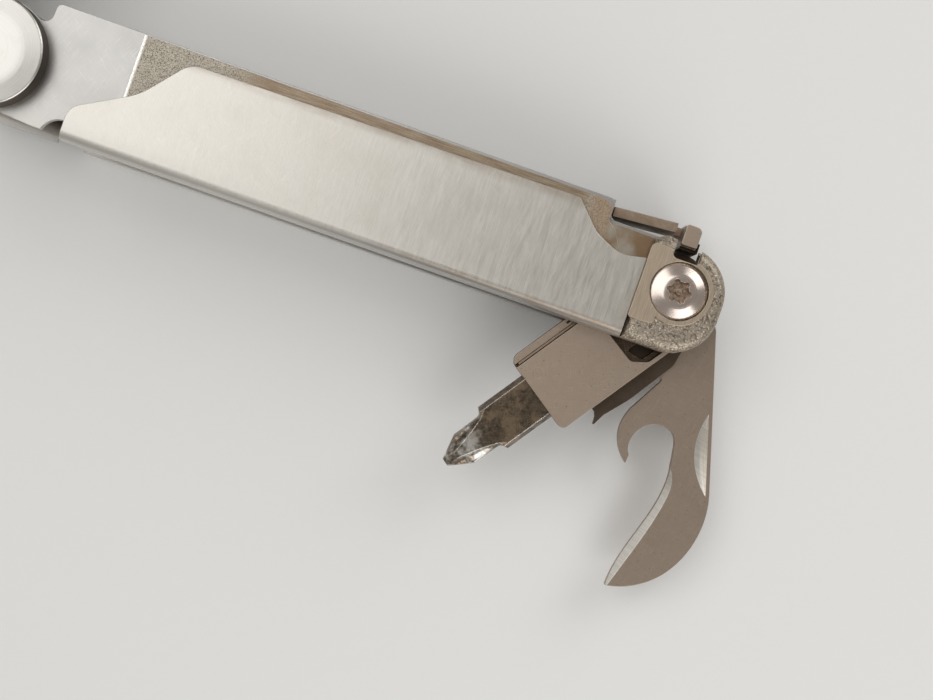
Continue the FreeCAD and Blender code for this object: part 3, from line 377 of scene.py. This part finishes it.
# ---------------------------------------------------------------- finishes
def sheet_steel(look, name, centre, turn):
    """Folded sheet: panels brushed across the handle, satin walls, a painted highlight on the folds at the
    mouth, and painted shade on the inner walls and along the bend.
    """
    steel = Finish(name)
    place = steel.place(centre, turn)
    across = steel.axis(place, "Y")
    along = steel.axis(place, "X")
    upright = steel.upright()
    panel = steel.axis(place, "Z").size().ramp(*PANEL_LEVEL) * upright.ramp(*FLAT)
    fine = steel.noise(place, (0.07 * MM, 2.2 * MM, 2 * MM), 2.0, 0.7)
    coarse = steel.noise(place, (0.5 * MM, 4 * MM, 4 * MM), 3.0, 0.6)
    cloud = steel.noise(place, 6 * MM, 4.0)
    fleck = steel.noise(place, 0.35 * MM, 3.0, 0.7)
    strokes = fine * 0.65 + coarse * 0.35
    brushed = steel.blend(strokes.spread(), tint(look.sheet, 0.86, 0.02), tint(look.sheet, 1.08))
    brushed = steel.blend(cloud.ramp(0.4, 0.75, 0.0, 0.35), brushed, tint(look.sheet, 0.82, 0.04))
    brushed = steel.blend(fleck.ramp(0.62, 0.75, 0.0, 0.25), brushed, tint(look.sheet, 0.62, 0.05))
    satin = steel.blend(cloud.spread(), tint(look.wall, 0.94), tint(look.wall, 1.04))
    # Painted shade: the inner walls of the sheet, above the mouth, are darkened towards brown.
    channel_shade = steel.axis(place, "Z").size().fade(*CHANNEL_LEVEL)
    satin = steel.blend(channel_shade * across.ramp(*MOUTH_SHADE_Y) * 0.85, satin, tint(look.grime_and_shade, 0.6))
    colour = steel.blend(panel, satin, brushed)
    # Painted highlight: the folds at the mouth are whitened, most towards the eye.
    fold = across.fade(*MOUTH_FOLD_Y) * along.ramp(*FOLD_HIGHLIGHT_X, 1.0, 0.1)
    # Painted shade: a brown line along the bend just above the mouth.
    crease_shade = across.ramp(*CREASE_LOW_Y) * across.fade(*CREASE_HIGH_Y) * along.ramp(*CREASE_X)
    crease_shade = crease_shade * cloud.ramp(0.35, 0.6, 0.25, 0.6)
    colour = steel.blend(fold * 0.45, colour, tint(look.sheet, 1.35))
    colour = steel.blend(crease_shade, colour, tint(look.grime_and_shade, 2.2))
    # Darker brown towards the back edge, on side faces, and at the panel's end beside the bolster, where it
    # is painted shade.
    smudge = steel.noise(place, (5 * MM, 1.2 * MM, 4 * MM), 4.0, 0.6)
    end = along.ramp(*PANEL_END_X) * across.ramp(*PANEL_WIDTH_Y, 0.8, 0.25)
    rim = (across.ramp(*PANEL_BACK_Y) * 0.45 + end * 0.5) * smudge.ramp(0.3, 0.65, 0.35, 1.0)
    sides = (1.0 - upright.ramp(0.3, 0.7)) * across.ramp(*PANEL_SIDES_Y)
    grime_and_shade = rim.most(sides * 0.75) * panel
    colour = steel.blend(grime_and_shade, colour, tint(look.grime_and_shade, 1.5))
    colour = steel.blend(steel.scratches(place, 3.0 * MM, 1.02) * 0.3, colour, tint(look.sheet, 1.4))
    edge = steel.soft_edge(0.14 * MM)
    colour = steel.blend(steel.worn(edge) * 0.55, colour, tint(look.sheet, 1.3))
    brushing = strokes.ramp(0.3, 0.7, -0.05, 0.07) * panel
    rough = brushing + (look.sheet_roughness + 0.03) + fold * 0.12 + grime_and_shade * 0.12
    height = strokes * panel + steel.noise(place, 0.12 * MM) * (1.0 - panel) * 0.5
    return steel.finish(colour, rough, steel.bump(height, 0.008 * MM, 0.55, edge))


def cast_steel(look, name, centre, turn):
    """Cast bolster: a smooth ground pad, and a grainy border below it."""
    steel = Finish(name)
    place = steel.place(centre, turn)
    pad = steel.axis(place, "Z").size().ramp(*PAD_LEVEL)
    grain = steel.pebbles(place, 0.35 * MM)
    fleck = steel.noise(place, 0.22 * MM, 2.0)
    strokes = steel.noise(place, (0.10 * MM, 2.5 * MM, 2 * MM), 2.0, 0.7)
    border = steel.blend(grain.ramp(0.15, 0.6), tint(look.cast, 0.38, 0.05), tint(look.cast, 0.84, 0.02))
    # Painted glints: scattered bright flecks on the grainy border.
    border = steel.blend(fleck.ramp(0.55, 0.68), border, tint(look.cast, 1.65, 0.02))
    smooth = steel.blend(strokes.spread(), tint(look.cast, 1.14, 0.07), tint(look.cast, 1.46, 0.07))
    colour = steel.blend(pad, border, smooth)
    edge = steel.soft_edge(0.10 * MM)
    colour = steel.blend(steel.worn(edge) * 0.6, colour, tint(look.cast, 1.8))
    rough = 0.44 - pad * 0.12 + fleck * 0.06
    height = grain * (1.0 - pad) + strokes * pad * 0.12
    return steel.finish(colour, rough, steel.bump(height, 0.075 * MM, 0.85, edge))


def turned_steel(look, name, centre, base, reach=0.0, roughness=0.2, edge_wear=0.5):
    """Turned and polished steel with faint rings and upright sides painted darker as shade; inside reach,
    below the crown, a stained socket.
    """
    steel = Finish(name)
    place = steel.place(centre)
    radius = steel.radius(place)
    rings = steel.rings(radius, 0.09 * MM)
    cloud = steel.noise(place, 1.6 * MM, 3.0)
    colour = steel.blend(rings.spread(), tint(base, 0.90), tint(base, 1.06))
    colour = steel.blend(cloud.ramp(0.5, 0.8, 0.0, 0.3), colour, tint(base, 0.72, 0.06))
    upright = steel.upright()
    # Painted shade: upright side walls are painted darker brown; on the pivot caps this stands for the shaded
    # ring around them.
    side = upright.fade(0.35, 0.75)
    rough = rings * 0.10 + (roughness - 0.05)
    if reach:
        deep = steel.axis(place, "Z").size().fade(*SOCKET_LEVEL)
        socket = radius.fade(reach, reach + 0.12 * MM) * deep
        stain = steel.noise(place, 0.5 * MM, 3.0)
        stained = steel.blend(stain.spread(), look.socket, tint(look.socket, 0.40))
        colour = steel.blend(socket, colour, stained)
        rough = rough + socket * 0.12
        side = side * (1.0 - socket)
    colour = steel.blend(side * 0.92, colour, tint(look.grime_and_shade, 0.4))
    edge = steel.soft_edge(0.09 * MM)
    colour = steel.blend(steel.worn(edge) * edge_wear, colour, tint(base, 1.25))
    return steel.finish(colour, rough + side * 0.2, steel.bump(rings, 0.004 * MM, 0.5, edge))


def satin_steel(look, name, centre, turn, base, roughness=0.4, patches=0.25, grind=None, floor=None):
    """Blasted satin steel with bright worn edges; sloping faces are ground, and low ones are painted darker
    as shade.

    grind turns the grinding marks from the tool's own line, and floor is the level below which shade is
    painted.
    """
    steel = Finish(name)
    place = steel.place(centre, turn)
    grain = steel.noise(place, 0.10 * MM, 2.0, 0.6)
    cloud = steel.noise(place, 3.2 * MM, 4.0, 0.6)
    speck = steel.noise(place, 0.32 * MM, 1.0)
    colour = steel.blend(grain.spread(), tint(base, 0.90), tint(base, 1.08))
    colour = steel.blend(cloud.ramp(0.4, 0.75, 0.0, patches), colour, tint(base, 0.62, 0.06))
    colour = steel.blend(speck.ramp(0.70, 0.76, 0.0, 0.5), colour, tint(look.grime_and_shade, 0.6))
    if floor is not None:
        # Painted shade: faces low in the bit driver, below the given level, are darkened towards brown.
        sunk_shade = steel.axis(place, "Z").fade(*floor)
        colour = steel.blend(sunk_shade * 0.85, colour, tint(look.grime_and_shade, 0.5))
    colour = steel.blend(steel.scratches(place, 2.0 * MM, 0.985) * 0.35, colour, tint(base, 1.6))
    rough = grain.ramp(0.3, 0.7, roughness - 0.04, roughness + 0.06) + cloud * 0.06
    height = grain
    if grind is not None:
        upright = steel.upright()
        slope = upright.ramp(0.15, 0.3) * upright.fade(*GROUND_FLAT)
        turned = steel.place(centre, turn + grind)
        lines = steel.noise(turned, (0.09 * MM, 6 * MM, 6 * MM), 2.0, 0.7)
        ground = steel.blend(lines.spread(), tint(look.ground, 0.86, 0.02), tint(look.ground, 1.05, 0.02))
        colour = steel.blend(slope, colour, ground)
        rough = rough - slope * 0.10
        height = grain * (1.0 - slope) + lines * slope
    edge = steel.soft_edge(0.11 * MM)
    colour = steel.blend(steel.worn(edge) * 0.7, colour, tint(base, 1.9))
    return steel.finish(colour, rough, steel.bump(height, 0.010 * MM, 0.6, edge))


def lever_steel(look, name, centre, turn):
    """Lock lever: a browned leaf, a cross bar rubbed bright by the thumb, and painted shade on its hook."""
    steel = Finish(name)
    place = steel.place(centre, turn)
    bar = steel.axis(place, "X").ramp(*LEVER_BAR_X)
    grain = steel.noise(place, (0.8 * MM, 0.08 * MM, 0.3 * MM), 3.0, 0.6)
    cloud = steel.noise(place, 2.2 * MM, 4.0, 0.6)
    leaf = steel.blend(grain.spread(), tint(look.spring, 0.82, 0.03), tint(look.spring, 1.1))
    leaf = steel.blend(cloud.ramp(0.45, 0.7, 0.0, 0.5), leaf, tint(look.grime_and_shade, 1.4))
    rubbed = steel.blend(grain.spread(), tint(look.tool, 1.15), tint(look.tool, 1.4))
    colour = steel.blend(bar, leaf, rubbed)
    # Painted shade: the hook under the cross bar is painted near black, as it lies deep in the bolster's
    # notch.
    below = steel.axis(place, "Y").fade(*LEVER_HOOK_Y)
    hook = bar * below.most(steel.axis(place, "X").ramp(*LEVER_HOOK_X))
    colour = steel.blend(hook, colour, tint(look.grime_and_shade, 0.22))
    edge = steel.soft_edge(0.16 * MM)
    colour = steel.blend(steel.worn(edge) * 0.75, colour, tint(look.ground, 1.1))
    return steel.finish(colour, 0.40 - bar * 0.08 + cloud * 0.05, steel.bump(grain, 0.008 * MM, 0.5, edge))


def bit_steel(look, name, centre, turn):
    """Browned bit: mottled patina, fine scratches, and bright steel where the wings and edges are worn."""
    steel = Finish(name)
    place = steel.place(centre, turn)
    mottle = steel.noise(place, 0.9 * MM, 5.0, 0.65, 0.6)
    patch = steel.noise(place, 2.6 * MM, 3.0, 0.6)
    grain = steel.noise(place, 0.08 * MM, 2.0)
    colour = steel.blend(mottle.ramp(0.35, 0.68), tint(look.bit, 0.42), tint(look.bit, 1.25))
    colour = steel.blend(patch.ramp(0.45, 0.62, 0.0, 0.65), colour, tint(look.bit, 1.9, 0.05))
    colour = steel.blend(mottle.ramp(0.30, 0.42, 0.75, 0.0), colour, tint(look.bit, 0.18))
    scratch = steel.scratches(place, 1.2 * MM, 0.975)
    colour = steel.blend(scratch * 0.6, colour, tint(look.bit, 3.0))
    edge = steel.soft_edge(0.22 * MM)
    tip = steel.axis(place, "X").ramp(*BIT_TIP_X) * patch.ramp(0.42, 0.58) * 0.75
    worn = (steel.worn(edge, 5.0) * mottle.ramp(0.25, 0.6, 0.6, 1.3)).most(tip).least(1.0)
    colour = steel.blend(worn, colour, look.ground)
    rough = mottle.ramp(0.3, 0.7, 0.36, 0.24) - worn * 0.04
    height = mottle * 0.7 + grain * 0.3
    return steel.finish(colour, rough, steel.bump(height, 0.025 * MM, 0.5, edge))


def grit_steel(look, name, centre, turn):
    """Diamond file: speckled grit on the faces, a bright ground end and a smoother, stained tang."""
    steel = Finish(name)
    place = steel.place(centre, turn)
    along = steel.axis(place, "X")
    grit = along.fade(*FILE_TANG_X)
    tip = along.fade(*FILE_TIP_X)
    cells = steel.pebbles(place, 0.17 * MM)
    fleck = steel.noise(place, 0.15 * MM, 2.0)
    cloud = steel.noise(place, 4 * MM, 3.0)
    rough_face = steel.blend(fleck.ramp(0.36, 0.62), tint(look.grit, 0.40), tint(look.grit, 1.15))
    rough_face = steel.blend(cells.ramp(0.35, 0.75, 0.0, 0.6), rough_face, tint(look.grit, 1.45, 0.02))
    tang = steel.blend(cloud.ramp(0.35, 0.7), tint(look.grime_and_shade, 1.9), tint(look.grit, 1.1))
    streak = steel.noise(place, (4 * MM, 0.15 * MM, 1 * MM), 3.0, 0.6)
    stained = steel.blend(streak.spread(), tint(look.grime_and_shade, 1.5), tint(look.grit, 0.85, 0.12))
    back = along.ramp(*FILE_STAIN_X) * along.fade(*FILE_STAIN_END_X)
    rough_face = steel.blend(back * 0.85, rough_face, stained)
    # A darker brown band on the file just before its tang, beside the bolster.
    rough_face = steel.blend(along.ramp(*FILE_DARK_BAND_X) * 0.6, rough_face, tint(look.grime_and_shade, 2.2))
    colour = steel.blend(grit, tang, rough_face)
    colour = steel.blend(tip, colour, tint(look.ground, 1.1))
    edge = steel.soft_edge(0.12 * MM)
    colour = steel.blend(steel.worn(edge) * 0.6, colour, look.ground)
    rough = 0.36 + grit * 0.14 - tip * 0.15
    height = cells * grit * (1.0 - back * 0.8) + fleck * (1.0 - grit) * 0.3
    return steel.finish(colour, rough, steel.bump(height, 0.045 * MM, 0.75, edge))


def blade_steel(look, name, centre, turn):
    """Outer blades: fine brushing along the blade, and across it on the ground bevels."""
    steel = Finish(name)
    place = steel.place(centre, turn)
    slope = steel.upright().fade(*BLADE_FLAT)
    along = steel.noise(place, (5 * MM, 0.10 * MM, 5 * MM), 2.0, 0.7)
    ground = steel.noise(place, (0.12 * MM, 6 * MM, 6 * MM), 2.0, 0.7)
    cloud = steel.noise(place, 8 * MM, 3.0)
    lines = along * (1.0 - slope) + ground * slope
    colour = steel.blend(lines.spread(), tint(look.blade, 0.84), tint(look.blade, 1.08))
    colour = steel.blend(cloud.ramp(0.45, 0.8, 0.0, 0.35), colour, tint(look.blade, 0.7, 0.04))
    edge = steel.soft_edge(0.12 * MM)
    colour = steel.blend(steel.worn(edge) * 0.6, colour, tint(look.blade, 1.35))
    rough = lines.ramp(0.3, 0.7, 0.24, 0.36)
    return steel.finish(colour, rough, steel.bump(lines, 0.008 * MM, 0.5, edge))


def forged_steel(look, name, centre, base, roughness=0.42):
    """Forged and blasted plier head, polished along its edges, with darker cloudy patches."""
    steel = Finish(name)
    place = steel.place(centre)
    grain = steel.pebbles(place, 0.20 * MM)
    fleck = steel.noise(place, 0.14 * MM, 2.0)
    cloud = steel.noise(place, 5 * MM, 4.0)
    colour = steel.blend(grain.ramp(0.15, 0.6), tint(base, 0.72), tint(base, 1.04))
    colour = steel.blend(fleck.ramp(0.60, 0.74, 0.0, 0.7), colour, tint(base, 1.5))
    colour = steel.blend(cloud.ramp(0.45, 0.8, 0.0, 0.45), colour, tint(base, 0.62, 0.05))
    edge = steel.soft_edge(0.2 * MM)
    colour = steel.blend(steel.worn(edge) * 0.65, colour, tint(base, 1.6))
    rough = roughness + fleck * 0.08
    return steel.finish(colour, rough, steel.bump(grain, 0.030 * MM, 0.65, edge))


def handle_finishes(look, side, centre, turn):
    """The finishes of one handle's pieces, by node name without its side."""
    screw = turned_steel(look, "screw_steel_" + side, centre, look.polished, SOCKET_REACH)
    return {
        "handle_shell": sheet_steel(look, "folded_sheet_" + side, centre, turn),
        "screw_side_bolster": cast_steel(look, "cast_bolster_" + side, centre, turn),
        "nut_side_bolster": cast_steel(look, "cast_nut_bolster_" + side, centre, turn),
        "tool_pivot_screw": screw,
        "tool_pivot_post": turned_steel(look, "post_steel_" + side, centre, look.polished),
        "lock_lever": lever_steel(look, "spring_steel_" + side, centre, turn),
    }


def eye_finishes(look, side, centre):
    """The finishes of one plier pivot's pieces."""
    cap = turned_steel(look, "pivot_cap_" + side, centre, look.cap, 0.0, 0.32, 0.1)
    return {"plier_pivot_post": cap, "plier_pivot_cap": cap}


class MULTITOOL_OT_handles(bpy.types.Operator):
    """Finish both handles' sheets, bolsters, pivots and levers"""
    bl_idname = "multitool.handles"
    bl_label = "Handles"

    def execute(self, context):
        look = context.scene.tool_finish
        for side, pivot, eye, turn in (("a", PIVOT_A, EYE_A, HEADING_A), ("b", PIVOT_B, EYE_B, HEADING_B)):
            finishes = handle_finishes(look, side, pivot, turn)
            finishes.update(eye_finishes(look, side, eye))
            for name, material in finishes.items():
                coat(name + "_" + side, material)
        return {"FINISHED"}


class MULTITOOL_OT_pliers(bpy.types.Operator):
    """Finish the plier head"""
    bl_idname = "multitool.pliers"
    bl_label = "Pliers"

    def execute(self, context):
        look = context.scene.tool_finish
        forged = forged_steel(look, "forged_jaw", RIVET, look.forged)
        cutter = forged_steel(look, "cutter_steel", RIVET, tint(look.forged, 0.9), 0.3)
        for side in "ab":
            coat("plier_jaw_" + side, forged)
            coat("wire_cutter_" + side, cutter)
        coat("plier_rivet", turned_steel(look, "rivet_steel", RIVET, look.polished))
        return {"FINISHED"}


class MULTITOOL_OT_tools(bpy.types.Operator):
    """Finish the inner tools and the outer blades"""
    bl_idname = "multitool.tools"
    bl_label = "Tools"

    def execute(self, context):
        look = context.scene.tool_finish
        # The small screwdriver, lying under the driver, takes a much darker copy of the tool colour as
        # painted shade.
        dull, shaded_tool = tint(look.tool, 0.87), tint(look.tool, 0.24, 0.06)
        driver = satin_steel(look, "driver_steel", PIVOT_A, OPEN_DRIVER, look.tool, 0.40, 0.12,
                             floor=DRIVER_SHADE_LEVEL)
        opener = satin_steel(look, "opener_steel", PIVOT_A, OPEN_OPENER, dull, 0.40, 0.2, GRIND_TURN)
        small = satin_steel(look, "small_driver_steel", PIVOT_A, OPEN_DRIVER, shaded_tool, 0.42, 0.5)
        inner = satin_steel(look, "tool_steel", PIVOT_B, HEADING_B, look.tool, 0.38, 0.3, 0.0)
        bit = bit_steel(look, "bit_steel", PIVOT_A, OPEN_DRIVER)
        blade_a = blade_steel(look, "blade_steel_a", PIVOT_A, HEADING_A)
        blade_b = blade_steel(look, "blade_steel_b", PIVOT_B, HEADING_B)
        spring = satin_steel(look, "leaf_steel", PIVOT_A, OPEN_DRIVER, look.spring, 0.34)
        grit = grit_steel(look, "diamond_grit", PIVOT_A, HEADING_A)
        for material, nodes in (
                (driver, ("bit_driver_body", "bit_driver_cover")), (opener, ("can_opener",)),
                (small, ("small_screwdriver",)), (bit, ("cross_point_bit",)), (spring, ("bit_spring",)),
                (inner, ("awl", "large_screwdriver", "medium_screwdriver", "lanyard_ring")),
                (blade_a, ("wood_saw",)), (blade_b, ("clip_point_knife", "serrated_knife")),
                (grit, ("diamond_file",))):
            for node in nodes:
                coat(node, material)
        return {"FINISHED"}


def coat(node, material):
    """Gives a CAD node its finish."""
    mesh = NODES[node].data
    mesh.materials.clear()
    mesh.materials.append(material)
    for face in mesh.polygons:
        face.material_index = 0


class MULTITOOL_OT_weld_marks(bpy.types.Operator):
    """Add the round weld marks on the bit driver's cheek plate"""
    bl_idname = "multitool.weld_marks"
    bl_label = "Weld marks"

    def execute(self, context):
        marks = context.scene.tool_marks
        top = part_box("bit_driver_cover")[1].z
        turn = Matrix.Rotation(OPEN_DRIVER, 3, "Z")
        for number, place in enumerate((marks.front_place, marks.rear_place), 1):
            centre = PIVOT_A + turn @ Vector((*place, 0.0))
            bpy.ops.object.select_all(action="DESELECT")
            bpy.ops.mesh.primitive_torus_add(
                location=(centre.x, centre.y, top - marks.wire * 0.35), major_radius=marks.radius,
                minor_radius=marks.wire, major_segments=48, minor_segments=10)
            ring = context.object
            ring.name = f"weld_mark_{number}"
            bpy.ops.object.transform_apply(location=True, rotation=True, scale=True)
            bpy.ops.object.shade_smooth_by_angle()
            ring.data.materials.append(NODES["bit_driver_cover"].data.materials[0])
            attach(ring, "bit_driver")
        return {"FINISHED"}


class MULTITOOL_OT_stage(bpy.types.Operator):
    """Make the floor, the lights and the camera"""
    bl_idname = "multitool.stage"
    bl_label = "Stage"

    def execute(self, context):
        stage = context.scene.tool_stage
        self.floor(stage)
        for name, place, target, width in LAMPS:
            self.light(name, getattr(stage, name + "_power"), place, target, width)
        world = bpy.data.worlds.new("room")
        world.use_nodes = True
        background = world.node_tree.nodes["Background"]
        background.inputs["Color"].default_value = (*ROOM_COLOUR, 1.0)
        background.inputs["Strength"].default_value = stage.room_light
        context.scene.world = world
        context.scene.view_settings.view_transform = "Standard"
        bpy.ops.object.camera_add(location=(*stage.camera_aside, stage.camera_height),
                                  rotation=(0, 0, stage.camera_turn))
        camera = context.object
        camera.data.lens = stage.lens
        camera.data.sensor_width = SENSOR_WIDTH
        camera.data.clip_start = 0.01
        context.scene.camera = camera
        return {"FINISHED"}

    def floor(self, stage):
        bpy.ops.object.select_all(action="DESELECT")
        bpy.ops.mesh.primitive_plane_add(size=FLOOR_WIDTH, location=(0, 0, 0))
        floor = bpy.context.object
        floor.name = "floor"
        paper = Finish("floor_paper")
        paper.set(paper.shader.inputs["Metallic"], 0.0)
        place = paper.place()
        fibre = paper.noise(place, 1.5 * MM)
        colour = paper.blend(fibre, tint(stage.floor_colour, 0.985), tint(stage.floor_colour, 1.0))
        paper.finish(colour, 0.8, paper.bump(fibre, 0.03 * MM, 0.3))
        floor.data.materials.append(paper.material)

    def light(self, name, power, place, target, width):
        data = bpy.data.lights.new(name, "AREA")
        data.energy = power
        data.shape = "SQUARE"
        data.size = width
        lamp = bpy.data.objects.new(name, data)
        lamp.location = place
        lamp.rotation_euler = (Vector(target) - Vector(place)).to_track_quat("-Z", "Y").to_euler()
        bpy.context.scene.collection.objects.link(lamp)


class MULTITOOL_PT_panel(bpy.types.Panel):
    """Lists the steps and settings"""
    bl_label = "Multi tool"
    bl_idname = "MULTITOOL_PT_panel"
    bl_space_type = "VIEW_3D"
    bl_region_type = "UI"
    bl_category = "Multi tool"

    def draw(self, context):
        for step in STEPS:
            self.layout.operator(step.bl_idname)
        for settings in (context.scene.tool_finish, context.scene.tool_marks, context.scene.tool_stage):
            for name in settings.__annotations__:
                self.layout.prop(settings, name)


SETTINGS = (ToolStageSettings, ToolMarkSettings, ToolFinishSettings)
STEPS = (MULTITOOL_OT_handles, MULTITOOL_OT_pliers, MULTITOOL_OT_tools, MULTITOOL_OT_weld_marks,
         MULTITOOL_OT_stage)


def register():
    for group in (*SETTINGS, *STEPS, MULTITOOL_PT_panel):
        bpy.utils.register_class(group)
    bpy.types.Scene.tool_stage = bpy.props.PointerProperty(type=ToolStageSettings)
    bpy.types.Scene.tool_marks = bpy.props.PointerProperty(type=ToolMarkSettings)
    bpy.types.Scene.tool_finish = bpy.props.PointerProperty(type=ToolFinishSettings)


def unregister():
    del bpy.types.Scene.tool_finish
    del bpy.types.Scene.tool_marks
    del bpy.types.Scene.tool_stage
    for group in reversed((*SETTINGS, *STEPS, MULTITOOL_PT_panel)):
        bpy.utils.unregister_class(group)


def main():
    register()
    bpy.ops.multitool.handles()
    bpy.ops.multitool.pliers()
    bpy.ops.multitool.tools()
    bpy.ops.multitool.weld_marks()
    bpy.ops.multitool.stage()


if __name__ == "__main__":
    main()
